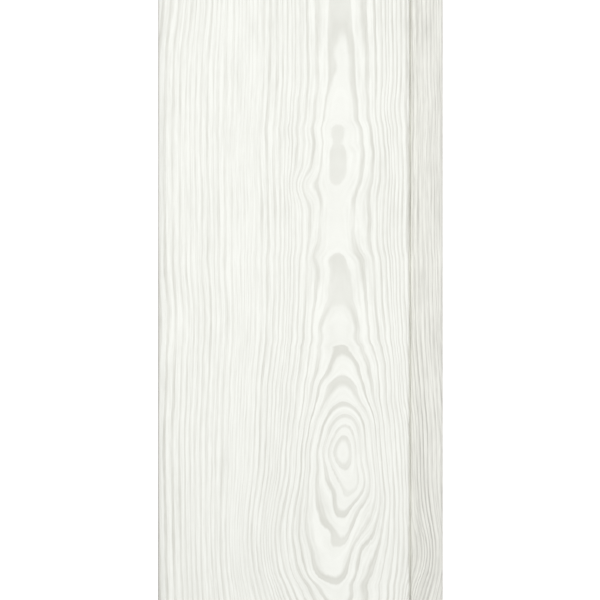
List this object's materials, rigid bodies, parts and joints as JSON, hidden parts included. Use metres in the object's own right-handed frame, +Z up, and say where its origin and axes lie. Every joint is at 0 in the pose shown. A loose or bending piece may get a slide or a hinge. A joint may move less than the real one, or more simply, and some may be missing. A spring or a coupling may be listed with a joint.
{
  "type": "tongue and groove board",
  "caption": "Long flat lining board with a wide recessed tongue along one edge and a groove along the other, so boards join with a shadow gap.",
  "frame": {"origin": "middle of the board's length and overall width, tongue included, on the plane of its back", "axes": "+Y along the board, +X from the groove edge to the tongue, +Z up out of the face"},
  "size_m": [0.146, 1.8, 0.015],
  "materials": {
    "white_stained_pine": "brushed softwood under a thin matt white stain, raw at the back, in the groove and at the sawn ends"
  },
  "bodies": {
    "root": {"board": "white_stained_pine"}
  },
  "joints": []
}
